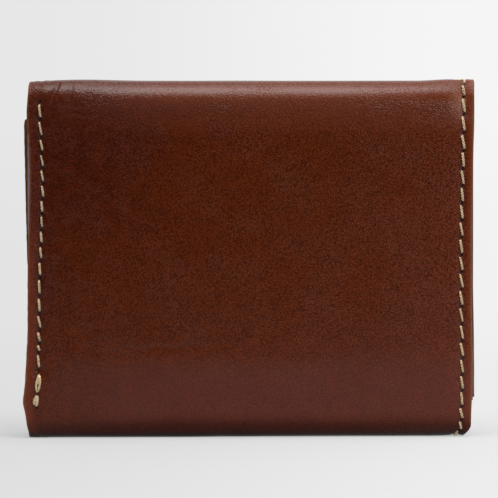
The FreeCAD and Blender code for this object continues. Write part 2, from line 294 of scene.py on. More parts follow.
def swell(x, s):
    """The broad shape of the leather over its plain shape: the face's crown, with its soft shoulders, the
    seams' valleys and the gentle unevenness of a wallet that has been handled."""
    # the face leaves the top fold slowly, on a shoulder that dies out below it
    below = 0.8 * np.logaddexp(0, (S_TOP_BEND + 1.5 - s) / 0.8)
    top = 1.3 * (1 - np.exp(-below / 3.1)) * smooth(x, LEFT - 2, LEFT + 17) * smooth(x, RIGHT + 9, RIGHT - 9)
    bottom = smooth(s, S_FACE - 3, S_FACE + 15)
    over = smooth(s, S_TOP - 5, S_TOP - 1) * smooth(s, S_REAR_BEND + 5, S_REAR_BEND + 1)
    out = np.where(s < S_SPINE_MIDDLE, top * bottom, 0)
    out += over * (0.24 * bump(x, -38, 8) + 0.1 + 0.42 * smooth(x, 38, 48) - 0.22 * smooth(x, -44, -50))
    # the wallet stands on the left of its bottom fold, which lifts a little towards the right
    sag = 0.24 + 0.08 * smooth(x, -34, -46) - 0.37 * smooth(x, -30, 50)
    out += sag * smooth(s, S_FACE, HALF_SPINE + 0.6) * smooth(s, -6, -1.5)
    out += 0.3 * bump(s, S_TOP_BEND - 1, 4) * smooth(x, -36, -49)
    # the top fold is tighter towards both ends
    out += 0.42 * bump(s, S_TOP_BEND + 2.8, 2.4) * (smooth(x, -26, -44) + smooth(x, 36, 46))
    corner = smooth(s, S_TOP_BEND - 9, S_TOP_BEND + 2) * smooth(s, S_TOP, S_TOP_BEND + 2)
    out -= 0.5 * smooth(x, 41, 48) * corner
    for seam, holes in SEAMS:
        reach = smooth(s, holes.min() - 3, holes.min()) * smooth(s, holes.max() + 3, holes.max())
        out -= reach * (0.22 * bump(x, seam(s), 0.85) + 0.16 * bump(x, seam(s), 2.4)) * (1 - 0.2 * over)
    return out + (0.07 * hills(x, s, 13, 1) + 0.035 * hills(x, s, 5.5, 2)) * (1 - 0.7 * over)


def relief(x, s):
    """Height of the leather's surface over its plain shape."""
    out = swell(x, s) - 0.4 * holes_at(x, s, 0.42)
    for seam, holes in SEAMS:
        # the leather is drawn down at each hole and stands up between them, more so along the left seam
        near = np.abs(s[..., None] - holes).min(-1)
        side = bump(np.abs(x - seam(s)), 0.95, 0.5)
        out += (0.1 if seam is left_seam else 0.06) * side * (smooth(near, 0.2, 1.6) - 0.6)
    edge = smooth(x, LEFT + 3.4, LEFT + 2.2)
    out += edge * 0.03 * (hills(x, s, 0.8, 8) + hills(x, s, 1.7, 9))
    return out + creases(x, s)


def on_cover(x, s, n, left=None):
    """World place, in metres, of a point of the cover given across, along and above its outer face."""
    x, s, n = (np.asarray(v, float) for v in np.broadcast_arrays(x, s, n))
    d, z, nd, nz = along(s)
    from_left, from_right = x - LEFT, RIGHT - x
    x = x + (left or left_shift)(s) * np.clip(1 - from_left / EDGE_REACH, 0, 1)
    x = x + right_shift(s) * np.clip(1 - from_right / EDGE_REACH, 0, 1)
    d, z = d + nd * n, z + nz * n
    return turned(x, d, z, smooth(s, S_LEAF + 1, S_LEAF + 7))


def turned(x, d, z, share=1.0):
    """The outer leaf leans in its own plane, top to the left; share says how much of that a point takes."""
    x, d, z, share = (np.asarray(v, float) for v in np.broadcast_arrays(x, d, z, share))
    across = x - (z - LEAF_MIDDLE) * math.tan(SKEW) * share
    return np.stack([across * MM, (d + FRONT_Y) * MM, z * MM], -1)


# ---- mesh building ----
def steps(*spans):
    """Positions from (start, end, spacing) spans that follow each other."""
    out = []
    for start, end, spacing in spans:
        count = max(1, int(round(abs(end - start) / spacing)))
        out.extend(np.linspace(start, end, count, endpoint=False))
    out.append(spans[-1][1])
    return np.array(out)


def edged(low, high, fine, *spans):
    """The same between two edges, with finer spacing at both for their rounding."""
    return np.concatenate([[low + f for f in fine], steps(*spans), [high - f for f in fine[::-1]]])


def make(name, points, faces, material, facts=None, merge=True, sharp=55):
    """A mesh object from world points, with its per-point facts, its normals outward and no doubles."""
    mesh = bpy.data.meshes.new(name)
    mesh.from_pydata(np.asarray(points).reshape(-1, 3).tolist(), [], faces)
    for key, values in (facts or {}).items():
        values = np.asarray(values, np.float32)
        kind = "FLOAT_VECTOR" if values.ndim == 2 else "FLOAT"
        attribute = mesh.attributes.new(key, kind, "POINT")
        attribute.data.foreach_set("vector" if values.ndim == 2 else "value", values.ravel())
    bm = bmesh.new()
    bm.from_mesh(mesh)
    if merge:
        bmesh.ops.remove_doubles(bm, verts=bm.verts, dist=2e-6)
    bmesh.ops.recalc_face_normals(bm, faces=bm.faces)
    if bm.calc_volume(signed=True) < 0:
        bmesh.ops.reverse_faces(bm, faces=bm.faces)
    bm.to_mesh(mesh)
    bm.free()
    mesh.shade_smooth()
    mesh.set_sharp_from_angle(angle=math.radians(sharp))
    obj = bpy.data.objects.new(name, mesh)
    bpy.context.scene.collection.objects.link(obj)
    obj.data.materials.append(material)
    return obj


def ring_faces(rows, loop):
    """Quads between rows of closed loops."""
    faces = []
    for i in range(rows - 1):
        a, b = i * loop, (i + 1) * loop
        for k in range(loop):
            m = (k + 1) % loop
            faces.append((a + k, a + m, b + m, b + k))
    return faces


def rounded_drop(t, radius):
    """How far a rounded edge falls away at distance t from the rim."""
    near = np.clip(radius - t, 0, radius)
    return radius - np.sqrt(np.maximum(radius * radius - near * near, 0))


def strip(name, rows, columns, top, thickness, material, low_end=False, high_end=False, surface=relief,
          left=None):
    """A closed sheet that follows the cover's path, from top down by thickness, with slightly rounded cut
    edges. low_end and high_end round off the first and last rows too; left is the left edge's own wander."""
    x, s = np.meshgrid(columns, rows)
    t = np.minimum(x - columns[0], columns[-1] - x)
    if low_end:
        t = np.minimum(t, s - rows[0])
    if high_end:
        t = np.minimum(t, rows[-1] - s)
    radius = min(thickness / 2, 0.32)
    drop = rounded_drop(t, radius)
    height = surface(x, s) if surface else np.zeros_like(x)
    outer = on_cover(x, s, top - drop + height, left)
    under = np.minimum(height, 0) * np.clip(1 - t / 2, 0, 1)
    inner = on_cover(x, s, top - thickness + drop + under, left)[:, ::-1]
    points = np.concatenate([outer, inner], 1)
    loop = points.shape[1]
    faces = ring_faces(len(rows), loop)
    n = len(columns)
    for base in (0, (len(rows) - 1) * loop):
        for k in range(n - 1):
            faces.append((base + k, base + k + 1, base + 2 * n - 2 - k, base + 2 * n - 1 - k))
    flat = np.stack([x, s, np.zeros_like(x)], -1)
    flat_in = (flat + [0, 0, 1])[:, ::-1]
    rim = np.exp(-((t / 0.5) ** 2))
    hole = holes_at(x, s, 0.36) if surface else np.zeros_like(x)
    facts = {
        "flat": np.concatenate([flat, flat_in], 1).reshape(-1, 3),
        "rim": np.concatenate([rim, rim[:, ::-1]], 1).ravel(),
        "hole": np.concatenate([hole, hole * 0], 1).ravel(),
    }
    return make(name, points, faces, material, facts)


def plate(name, x0, x1, z0, z1, d0, d1, material, facing, corners=(0, 0, 0, 0), notch=None,
          skewed=False, spacing=0.9, wave=0.05, groove=(), sunk=0.0, seed=20):
    """A flat leather panel with rounded edges, whose worked side faces back (1) or forward (-1). corners
    are the radii bottom left, bottom right, top left and top right; notch is a (middle, width, depth) dip
    in the top edge; groove lists (axis, place); sunk is how far the worked side lies inside its box."""
    fine = (0, 0.09, 0.22, 0.4, 0.62, 0.9, 1.3, 1.8)
    columns = edged(x0, x1, fine, (x0 + 2.5, x1 - 2.5, spacing))
    rows = edged(z0, z1, fine, (z0 + 2.5, z1 - 2.5, spacing))
    x, z = np.meshgrid(columns, rows)
    t = np.minimum(np.minimum(x - x0, x1 - x), np.minimum(z - z0, z1 - z))
    flat = np.stack([x, z, np.zeros_like(x)], -1)
    across = (x - x0) / (x1 - x0)
    for radius, corner_x, corner_z in zip(corners, (x0, x1, x0, x1), (z0, z0, z1, z1)):
        if radius:
            # pull the rows near this corner in along X, on a quarter circle
            gap = np.clip(radius - np.abs(z - corner_z), 0, radius)
            pull = radius - np.sqrt(np.maximum(radius * radius - gap * gap, 0))
            side = 1 - across if corner_x == x0 else across
            x = x + (1 if corner_x == x0 else -1) * pull * side
    if notch:
        middle, width, depth = notch
        dip = depth * np.clip(1 - ((x - middle) / (width / 2)) ** 2, 0, 1) ** 0.8
        z = z - dip * ((z - z0) / (z1 - z0)) ** 3
    radius = min((d1 - d0) / 2, 0.5)
    thin = radius < 0.5  # a thin panel's rounded faces meet in one rim row
    drop = rounded_drop(t, radius)
    height = wave * hills(x, z, 9, seed) * np.clip(t / 2, 0, 1)
    for axis, place in groove:
        at = x if axis == "x" else z
        height = height - 0.16 * bump(at, place, 0.6) * np.clip(t / 0.8, 0, 1)
    height = np.minimum(height, 0) - sunk * np.clip(t / 2, 0, 1)
    mid = (d0 + d1) / 2
    if facing > 0:
        front, back = d1 - drop + height, d0 + drop
    else:
        front, back = d0 + drop - height, d1 - drop
    if thin:
        front, back = (np.where(t <= 1e-9, mid, face) for face in (front, back))
    share = 1.0 if skewed else 0.0
    points = np.concatenate([turned(x, front, z, share).reshape(-1, 3),
                             turned(x, back, z, share).reshape(-1, 3)])
    m, n = x.shape
    faces = []
    for i in range(m - 1):
        for k in range(n - 1):
            a = i * n + k
            faces.append((a, a + 1, a + n + 1, a + n))
            a += m * n
            faces.append((a, a + n, a + n + 1, a + 1))
    if not thin:
        grid = np.arange(m * n).reshape(m, n)
        border = np.concatenate([grid[0], grid[1:, -1], grid[-1, -2::-1], grid[-2:0:-1, 0]]).tolist()
        for a, b in zip(border, border[1:] + border[:1]):
            faces.append((a, b, b + m * n, a + m * n))
    rim = np.exp(-((t / 0.5) ** 2))
    facts = {
        "flat": np.concatenate([flat.reshape(-1, 3), flat.reshape(-1, 3) + [0, 0, 1]]),
        "rim": np.concatenate([rim.ravel(), rim.ravel()]),
        "hole": np.zeros(2 * m * n),
    }
    return make(name, points, faces, material, facts)


# ---- thread ----
PLY_TWIST = 1.3  # millimetres per turn
THREAD_R = 0.31


def stitch_rows(start, end, lean, lift=0.3, radius=THREAD_R, sides=8, count=19, phase=0.0, bow=0.0):
    """The plies of one stitch from one hole to the next, in (across, along, above) space. It leaves the
    first hole on one side of the seam and enters the next on the other; bow bends it sideways."""
    (x0, s0), (x1, s1) = start, end
    t = np.linspace(0, 1, count)
    rise = lift - 0.75 * np.abs(2 * t - 1) ** 7
    length = math.hypot(x1 - x0, s1 - s0)
    centre = np.stack([x0 + (x1 - x0) * t - lean * (0.5 - t) * 2 + bow * np.sin(math.pi * t),
                       s0 + (s1 - s0) * t, rise], -1)
    plump = radius * (0.72 + 0.28 * np.sin(math.pi * t) ** 0.6)
    angles = np.linspace(0, 2 * math.pi, sides, endpoint=False)
    rows = []
    for ply in range(2):
        turn = 2 * math.pi * t * length / PLY_TWIST + math.pi * ply + phase
        middle = centre + 0.5 * plump[:, None] * np.stack([np.cos(turn), t * 0, np.sin(turn)], -1)
        ring = np.stack([np.cos(angles), angles * 0, np.sin(angles)], -1)
        inward = 0.5 - 0.5 * np.cos(angles[None] - turn[:, None])
        rows.append((middle[:, None] + 0.55 * plump[:, None, None] * ring[None], inward))
    return rows


def thread_object(name, tubes, place, material):
    """One mesh of closed tubes: each is an array of rings of (across, along, above) points, and how far
    each of them faces the other ply."""
    points, faces, facts, base = [], [], [], 0
    for i, (tube, _) in enumerate(tubes):
        count, sides = tube.shape[:2]
        flat = tube.reshape(-1, 3)
        points.append(place(flat[:, 0], flat[:, 1], flat[:, 2]))
        ring = np.tile(np.arange(sides) / sides, count)
        facts.append(np.stack([ring * 2.1, flat[:, 1], np.full(len(flat), i * 7.3)], -1))
        faces += [tuple(base + v for v in f) for f in ring_faces(count, sides)]
        faces.append(tuple(base + k for k in range(sides)))
        faces.append(tuple(base + (count - 1) * sides + k for k in range(sides - 1, -1, -1)))
        base += len(flat)
    facts = {"flat": np.concatenate(facts), "rim": np.concatenate([inward.ravel() for _, inward in tubes])}
    return make(name, np.concatenate(points), faces, material, facts, merge=False, sharp=80)


def seam_surface(x, s, n):
    """Places thread on the cover, sunk with the seam's valley but not into its holes."""
    return on_cover(x, s, n + swell(x, s))


def window_ring(name, outer, inner, d0, d1, material):
    """The leather frame round the window: outer and inner are (x0, x1, z0, z1, corner radius)."""
    def outline(x0, x1, z0, z1, radius):
        out = []
        spots = ((x1 - radius, z1 - radius, 0), (x0 + radius, z1 - radius, 90),
                 (x0 + radius, z0 + radius, 180), (x1 - radius, z0 + radius, 270))
        for k, (cx, cz, start) in enumerate(spots):
            angles = np.radians(np.linspace(start, start + 90, 9))
            arc_points = np.stack([cx + radius * np.cos(angles), cz + radius * np.sin(angles)], -1)
            nx, nz, turn = spots[(k + 1) % 4]
            a = math.radians(turn)
            target = np.array([nx + radius * math.cos(a), nz + radius * math.sin(a)])
            run = np.linspace(arc_points[-1], target, 70, endpoint=False)[1:]
            out += [arc_points, run]
        return np.concatenate(out)

    a, b = outline(*outer), outline(*inner)
    fine = np.array([0, 0.01, 0.025, 0.05, 0.08, 0.12, 0.17, 0.22, 0.28, 0.35, 0.45, 0.55, 0.65, 0.75])
    share = np.concatenate([fine, [0.85, 0.91, 0.95, 0.975, 0.99, 1.0]])
    points = a[:, None] * (1 - share[None, :, None]) + b[:, None] * share[None, :, None]
    wide = np.linalg.norm(a - b, axis=1)[:, None]
    t = np.minimum(share[None] * wide, (1 - share[None]) * wide)
    x, z = points[..., 0], points[..., 1]
    radius = (d1 - d0) / 2
    drop = rounded_drop(t, radius)
    ends = np.clip(t / 0.6, 0, 1)
    dent = 0.16 * (bump(np.minimum(x - outer[0], outer[1] - x), 2.2, 0.6)
                   + bump(z - outer[2], 2.2, 0.6)) + 0.05 * (1 + hills(x, z, 9, 31))

    def wrapped(front, back):
        """Across the front and back across the back, all the way round the ring."""
        loop = np.concatenate([front, back[:, 1:-1][:, ::-1]], 1)
        return np.concatenate([loop, loop[:1]], 0)

    loop = wrapped(turned(x, d0 + drop + dent * ends, z), turned(x, d1 - drop, z))
    flat = np.stack([x, z, x * 0], -1)
    flat = wrapped(flat, flat + [0, 0, 1])
    rim = np.exp(-((t / 0.5) ** 2))
    rim = wrapped(rim, rim)
    facts = {"flat": flat.reshape(-1, 3), "rim": rim.ravel(), "hole": rim.ravel() * 0}
    return make(name, loop, ring_faces(len(loop), loop.shape[1]), material, facts)


# ---- materials ----
def linear(r, g, b):
    """A colour as it is seen, 0 to 255, in the renderer's own values."""
    return tuple((v / 255 / 12.92) if v < 10.3 else ((v / 255 + 0.055) / 1.055) ** 2.4 for v in (r, g, b))


class Shader:
    """The node tree of a new material, or of the world, built by small calls that give back sockets."""

    def __init__(self, owner):
        self.material = bpy.data.materials.new(owner) if isinstance(owner, str) else owner
        self.material.use_nodes = True
        self.tree = self.material.node_tree
        self.tree.nodes.clear()

    def node(self, kind, inputs=(), **settings):
        made = self.tree.nodes.new(kind)
        for key, value in settings.items():
            setattr(made, key, value)
        for key, value in dict(inputs).items():
            socket = made.inputs[key]
            if isinstance(value, bpy.types.NodeSocket):
                self.tree.links.new(value, socket)
            elif isinstance(value, tuple) and len(value) == 3 and socket.type == "RGBA":
                socket.default_value = (*value, 1)
            else:
                socket.default_value = value
        return made

    def fact(self, name, output="Fac"):
        return self.node("ShaderNodeAttribute", attribute_name=name).outputs[output]

    def math(self, operation, a, b=0.0):
        return self.node("ShaderNodeMath", {0: a, 1: b}, operation=operation).outputs[0]

    def window(self, value, rise, full, fade, gone):
        """1 from full to fade, 0 outside."""
        return self.times(self.ramp(value, rise, full), self.ramp(value, gone, fade))

    def add(self, *values):
        return functools.reduce(functools.partial(self.math, "ADD"), values)

    def times(self, *values):
        return functools.reduce(functools.partial(self.math, "MULTIPLY"), values)

    def ramp(self, value, low, high, start=0.0, end=1.0):
        made = self.node("ShaderNodeMapRange", {0: value, 1: low, 2: high, 3: start, 4: end},
                         interpolation_type="SMOOTHSTEP")
        return made.outputs[0]

    def vector(self, operation, inputs):
        return self.node("ShaderNodeVectorMath", inputs, operation=operation).outputs[0]

    def scaled(self, vector, x, y, z=1.0):
        return self.vector("MULTIPLY", {0: vector, 1: (x, y, z)})

    def moved(self, vector, by, amount):
        centred = self.vector("SUBTRACT", {0: by, 1: (0.5, 0.5, 0.5)})
        return self.vector("ADD", {0: vector, 1: self.vector("SCALE", {0: centred, "Scale": amount})})

    def noise(self, vector, scale, detail=3.0, rough=0.55, output="Fac"):
        made = self.node("ShaderNodeTexNoise", {"Vector": vector, "Scale": scale, "Detail": detail,
                                                "Roughness": rough})
        return made.outputs[output]

    def cells(self, vector, scale, feature="F1"):
        made = self.node("ShaderNodeTexVoronoi", {"Vector": vector, "Scale": scale}, feature=feature)
        return made.outputs["Distance"]

    def mix(self, share, a, b):
        made = self.node("ShaderNodeMix", {0: share, 6: a, 7: b}, data_type="RGBA")
        return made.outputs[2]

    def solid_place(self):
        """Place in millimetres, for pieces that carry no layout of their own."""
        return self.scaled(self.node("ShaderNodeTexCoord").outputs["Object"], 1000.0, 1000.0, 1000.0)

    def xyz(self, vector):
        made = self.node("ShaderNodeSeparateXYZ", {0: vector})
        return made.outputs[0], made.outputs[1], made.outputs[2]

    def relief(self, height, strength, distance):
        return self.node("ShaderNodeBump", {"Height": height, "Strength": strength,
                                            "Distance": distance}).outputs[0]

    def finish(self, **inputs):
        surface = self.node("ShaderNodeBsdfPrincipled", {k.replace("_", " "): v for k, v in inputs.items()})
        self.node("ShaderNodeOutputMaterial", {0: surface.outputs[0]})
        return self.material


AMBER = linear(80, 27, 5)
BURGUNDY = linear(66, 18, 6)
CHESTNUT = linear(86, 31, 10)
RIM_BROWN = linear(112, 66, 38)


def cover_leather():
    """Waxed full-grain leather: fine pebbles and drifting colour; paler rims, partly edge paint and partly
    painted highlight; painted shade in the needle holes, the pebbles' crevices and where it stands; painted
    highlight and sheen on the pebbles, over the top fold and beside the right seam.
    """
    m = Shader("cover_leather_look")
    flat = m.fact("flat", "Vector")
    x, s, side = m.xyz(flat)
    up = m.add(s, -S_FACE)  # up the face
    bend = m.add(s, -S_TOP_BEND)  # on from where the top fold begins
    right = m.ramp(x, 18.0, 50.0)
    lower = m.ramp(up, 20.0, 8.0)
    warp = m.noise(flat, 0.45, 2.0, output="Color")
    pebble = m.cells(m.moved(flat, warp, 1.2), 2.6)
    crowding = m.noise(flat, 0.09, 2.0)
    fine = m.noise(flat, 2.6, 4.0, 0.6)
    glint_noise = m.noise(flat, 3.8, 1.0, 0.5)
    drift = m.add(m.noise(flat, 0.045, 3.0, 0.5), -0.5)
    mottle = m.noise(flat, 0.3, 4.0, 0.6)
    # redder towards the upper left, the leather's own drift; darker there and lighter towards the right,
    # partly its own tone and partly painted shade and painted light
    upper = m.ramp(m.add(m.times(s, 0.9), m.times(x, -1.0)), 55.0, 112.0)
    colour = m.mix(m.ramp(m.add(m.times(upper, 0.85), drift), 0.0, 0.9), AMBER, BURGUNDY)
    colour = m.mix(m.times(m.ramp(m.add(right, m.times(drift, 0.6)), 0.1, 1.1), 0.8), colour, CHESTNUT)
    tone = m.add(m.times(mottle, 0.6), m.times(fine, 0.4))
    colour = m.mix(m.ramp(tone, 0.35, 0.7, 0.0, 0.25), colour, linear(112, 48, 18))
    # painted highlight: pale specks for sheen on the pebbles' tops, more towards the right
    glint_spread = m.ramp(m.add(x, m.times(s, 0.35)), -30.0, 60.0, 0.25, 1.0)
    colour = m.mix(m.times(m.ramp(glint_noise, 0.5, 0.74, 0.0, 0.5), glint_spread), colour, linear(150, 78, 42))
    # painted shade in the crevices between the pebbles
    colour = m.mix(m.ramp(pebble, 0.30, 0.75, 0.0, 0.5), colour, linear(22, 6, 2))
    # painted highlight where it bends over the top and on the shoulder below it, and a milky painted
    # reflection of the floor on the lower face
    crown = m.add(m.ramp(bend, -9.0, -5.0, 0.0, 0.2), m.ramp(bend, -2.0, 1.6, 0.0, 0.4),
                  m.ramp(bend, 2.2, 4.5, 0.0, -0.25))
    crown = m.add(m.times(crown, m.ramp(x, -37.0, -17.0, 0.35, 1.0)),
                  m.times(lower, m.ramp(x, -44.0, -24.0, 0.02, 0.16)))
    colour = m.mix(crown, colour, m.mix(lower, linear(108, 54, 34), linear(112, 47, 42)))
    # lighter and redder along both side edges, least at the upper left
    band = m.math("MAXIMUM", m.ramp(x, LEFT + 2.6, LEFT + 0.9), m.ramp(x, RIGHT - 1.6, RIGHT - 0.5))
    band = m.times(band, m.ramp(m.add(up, m.times(x, -1.0)), 84.0, 102.0, 0.5, 0.15))
    colour = m.mix(band, colour, linear(112, 46, 24))
    # painted sheen beside the seam where it turns over the top
    seam_sheen = m.times(m.window(x, 44.5, 48.6, 48.8, 49.6), m.window(bend, -6.0, -0.6, 0.6, 2.6), 0.27)
    colour = m.mix(seam_sheen, colour, linear(176, 130, 108))
    # paler rims: partly edge paint, partly a painted highlight where the rounded edges catch the light
    rim_paint_and_glint = m.ramp(m.add(m.fact("rim"), m.times(m.add(mottle, -0.5), 0.5)), 0.2, 0.9)
    colour = m.mix(m.times(rim_paint_and_glint, 0.85), colour, RIM_BROWN)
    # painted shade in the needle holes, weaker along the left seam
    hole = m.times(m.ramp(m.fact("hole"), 0.16, 0.6), m.ramp(x, -5.0, 5.0, 0.75, 1.0))
    colour = m.mix(hole, colour, linear(14, 6, 5))
    # painted shade where it rounds down to what it stands on, darkest on the underside
    foot_shade_mask = m.times(m.ramp(up, 2.5, -3.0), m.ramp(s, 0.0, 3.0), m.ramp(x, -50.0, -15.0, 0.5, 1.0))
    colour = m.mix(m.times(foot_shade_mask, 0.6), colour, linear(30, 10, 7))
    sole_shade = m.times(m.ramp(up, -2.4, -4.2), m.ramp(s, 0.0, 2.0), 0.75)
    colour = m.mix(sole_shade, colour, linear(16, 7, 5))
    flesh_side = m.ramp(side, 0.4, 0.6)
    colour = m.mix(flesh_side, colour, linear(104, 64, 42))
    # the grain stands up in drifts, more on the right and beside the left edge, less on the right's bend
    grain = m.math("MAXIMUM", m.ramp(m.add(crowding, m.times(right, 0.25)), 0.35, 0.8, 0.15, 0.9),
                   m.ramp(x, LEFT + 5.0, LEFT + 2.5))
    grain = m.add(grain, m.ramp(bend, -4.0, 0.5, 0.0, 0.35), m.times(right, m.ramp(up, 42.0, 62.0, 0.0, 0.1)),
                  m.times(right, m.ramp(bend, 0.5, 2.0, 0.0, -0.45)))
    height = m.add(m.times(m.ramp(pebble, 0.05, 0.7, 1.0, 0.0), grain), m.times(fine, 0.3))
    # fine wrinkles lie across the left part and above the lower bend
    strokes = m.noise(m.moved(m.scaled(flat, 0.28, 1.5), warp, 0.5), 1.0, 3.0, 0.6)
    worked = m.math("MAXIMUM", m.ramp(x, -26.0, -40.0), m.times(m.ramp(x, 0.0, -24.0), lower))
    height = m.add(height, m.times(m.ramp(strokes, 0.5, 0.68), worked, m.ramp(mottle, 0.42, 0.6, 0.0, 0.42)))
    rough = m.add(m.ramp(x, -30.0, 40.0, 0.22, 0.27), m.times(m.add(fine, -0.5), 0.14))
    # handled to a lower gloss on the shoulder and over the top than on the bend between them
    gloss = m.add(m.ramp(foot_shade_mask, 0.0, 0.8, 0.25, 0.1), m.ramp(bend, -2.0, 0.2, 0.0, -0.08),
                  m.ramp(bend, 0.9, 1.8, 0.0, 0.14), m.ramp(bend, 2.2, 3.4, 0.0, -0.16),
                  m.times(right, m.ramp(bend, -3.0, -7.0), m.ramp(up, 14.0, 40.0, 0.02, -0.07)),
                  m.times(right, m.window(bend, -0.6, 0.5, 1.3, 2.3), -0.15))
    gloss = m.times(gloss, m.ramp(m.add(x, m.times(s, -0.2)), -67.0, -58.0, 0.6, 1.0))
    return m.finish(Base_Color=colour, Roughness=rough, Normal=m.relief(height, 1.0, 0.000065),
                    Specular_IOR_Level=gloss)


def inner_leather():
    """Thin split leather of the pockets: smoother, with a burnished line under each mouth's rim."""
    m = Shader("inner_leather_look")
    flat = m.fact("flat", "Vector")
    warp = m.noise(flat, 0.6, 2.0, output="Color")
    pebble = m.cells(m.moved(flat, warp, 1.0), 1.9)
    fine = m.noise(flat, 3.4, 4.0, 0.6)
    drift = m.noise(flat, 0.06, 3.0)
    colour = m.mix(m.ramp(drift, 0.3, 0.7), linear(92, 46, 30), linear(70, 32, 24))
    colour = m.mix(m.ramp(fine, 0.35, 0.7, 0.0, 0.25), colour, linear(124, 74, 50))
    colour = m.mix(m.ramp(pebble, 0.35, 0.8, 0.0, 0.35), colour, linear(34, 14, 9))
    colour = m.mix(m.times(m.ramp(m.fact("rim"), 0.3, 0.95), 0.75), colour, RIM_BROWN)
    height = m.add(m.ramp(pebble, 0.05, 0.75, 1.0, 0.0), m.times(fine, 0.5))
    return m.finish(Base_Color=colour, Roughness=m.ramp(fine, 0.3, 0.7, 0.42, 0.6),
                    Normal=m.relief(height, 0.45, 0.00006))


def plain_leather(name):
    """The same leather for carried-over solids, which hold no layout of their own."""
    m = Shader(name)
    spot = m.solid_place()
    pebble = m.cells(spot, 1.9)
    fine = m.noise(spot, 3.0, 4.0, 0.6)
    drift = m.noise(spot, 0.08, 3.0)
    colour = m.mix(m.ramp(drift, 0.3, 0.7), linear(98, 58, 40), linear(74, 38, 27))
    colour = m.mix(m.ramp(fine, 0.35, 0.7, 0.0, 0.3), colour, linear(128, 84, 60))
    height = m.add(m.ramp(pebble, 0.05, 0.75, 1.0, 0.0), m.times(fine, 0.6))
    return m.finish(Base_Color=colour, Roughness=m.ramp(fine, 0.3, 0.7, 0.5, 0.7),
                    Normal=m.relief(height, 0.45, 0.00006))


def lining_cloth():
    """Lilac-grey twill: diagonal ridges of fine yarn."""
    m = Shader("lining_cloth_look")
    flat = m.fact("flat", "Vector")
    x, s, _ = m.xyz(flat)
    yarn = m.noise(flat, 1.2, 3.0)
    diagonal = m.math("SINE", m.times(m.add(m.add(x, s), m.times(yarn, 0.25)), 11.0))
    weft = m.math("SINE", m.times(m.add(x, m.times(s, -1.0)), 24.0))
    ridge = m.add(m.times(diagonal, 0.4), m.times(weft, 0.2))
    drift = m.noise(flat, 0.15, 3.0)
    colour = m.mix(m.ramp(ridge, -0.5, 0.6), linear(112, 98, 108), linear(164, 150, 160))
    colour = m.mix(m.ramp(drift, 0.35, 0.7, 0.0, 0.35), colour, linear(134, 120, 128))
    return m.finish(Base_Color=colour, Roughness=0.85, Sheen_Weight=0.2,
                    Normal=m.relief(ridge, 0.5, 0.00008))


def thread_look():
    """Waxed cream thread: long fibres, painted shade where its two plies meet, a few soiled spots."""
    m = Shader("thread_look")
    flat = m.fact("flat", "Vector")
    fibres = m.noise(m.scaled(flat, 6.0, 1.6, 1.0), 1.0, 3.0, 0.6)
    soil = m.noise(m.scaled(flat, 0.4, 0.45, 1.0), 1.0, 2.0)
    colour = m.mix(m.ramp(fibres, 0.3, 0.7), linear(206, 176, 130), linear(238, 216, 178))
    colour = m.mix(m.ramp(soil, 0.5, 0.8, 0.0, 0.4), colour, linear(176, 128, 80))
    # painted shade where each ply faces the other
    colour = m.mix(m.ramp(m.fact("rim"), 0.35, 0.85, 0.0, 0.9), colour, linear(112, 72, 40))
    return m.finish(Base_Color=colour, Roughness=0.55, Sheen_Weight=0.1,
                    Normal=m.relief(fibres, 0.6, 0.00008))


def window_film():
    """Clear soft film with a faint haze and fine scratches."""
    m = Shader("window_film_look")
    spot = m.solid_place()
    haze = m.noise(spot, 0.08, 3.0)
    scratch = m.noise(m.scaled(spot, 0.25, 3.0, 1.6), 1.0, 2.0)
    return m.finish(Base_Color=m.mix(haze, (0.80, 0.83, 0.84), (0.70, 0.72, 0.73)),
                    Roughness=m.ramp(scratch, 0.4, 0.7, 0.12, 0.2), Alpha=m.ramp(haze, 0.2, 0.8, 0.19, 0.24),
                    Normal=m.relief(scratch, 0.2, 0.00005))


COVER = cover_leather()
INNER = inner_leather()
CLOTH = lining_cloth()
THREAD = thread_look()
WELT = plain_leather("welt_leather_look")
FILM = window_film()


# ---- the cover leather, in three pieces that meet on flat stretches ----
EDGE = (0, 0.05, 0.12, 0.22, 0.36, 0.55, 0.8)
columns = edged(LEFT, RIGHT, EDGE, (LEFT + 1.1, LEFT + 17, 0.36), (LEFT + 17, RIGHT - 6, 0.8),
                (RIGHT - 6, RIGHT - 1.1, 0.33))
front_rows = steps((0, S_FACE, 0.36), (S_FACE, S_TOP_BEND, 0.4), (S_TOP_BEND, S_TOP, 0.33),
                   (S_TOP, S_SPINE_MIDDLE, 0.5))
END = (0.8, 0.55, 0.36, 0.22, 0.12, 0.05, 0)
back_rows = np.concatenate([steps((S_SPINE_MIDDLE, S_REAR_BEND, 0.5), (S_REAR_BEND, S_LEAF + 4, 0.38),
                                  (S_LEAF + 4, S_LEAF + 6, 0.14), (S_LEAF + 6, S_END - 1.2, 0.55)),
                            [S_END - e for e in END]])
inner_rows = np.concatenate([[S_INNER_END + e for e in END[::-1]],
                             steps((S_INNER_END + 1.2, S_INNER, 0.55), (S_INNER, 0, 0.38))])

TOP_FOLD = {"start": (0, FRONT_Y * MM, TOP_Z * MM), "end": (0, (FRONT_Y + FOLD_R) * MM, HEIGHT * MM)}
REAR_FOLD = {"start": (0, (FRONT_Y + THICK - FOLD_R) * MM, HEIGHT * MM),
             "end": (0, (FRONT_Y + THICK) * MM, TOP_Z * MM)}
INNER_FOLD = {"start": (0, (FRONT_Y + INNER_BACK - FOLD_R) * MM, 0),
              "end": (0, (FRONT_Y + INNER_BACK) * MM, FOLD_R * MM)}


def attach(piece, bodies, fold=None, nodes=()):
    """Parents a piece to the body it moves with, or only bakes its place in when it crosses a fold, and hides
    the plain solids it stands for.
    """
    if fold:
        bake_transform(piece)
    else:
        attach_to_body(piece, bodies)
    if nodes:
        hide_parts(*nodes)
    return piece


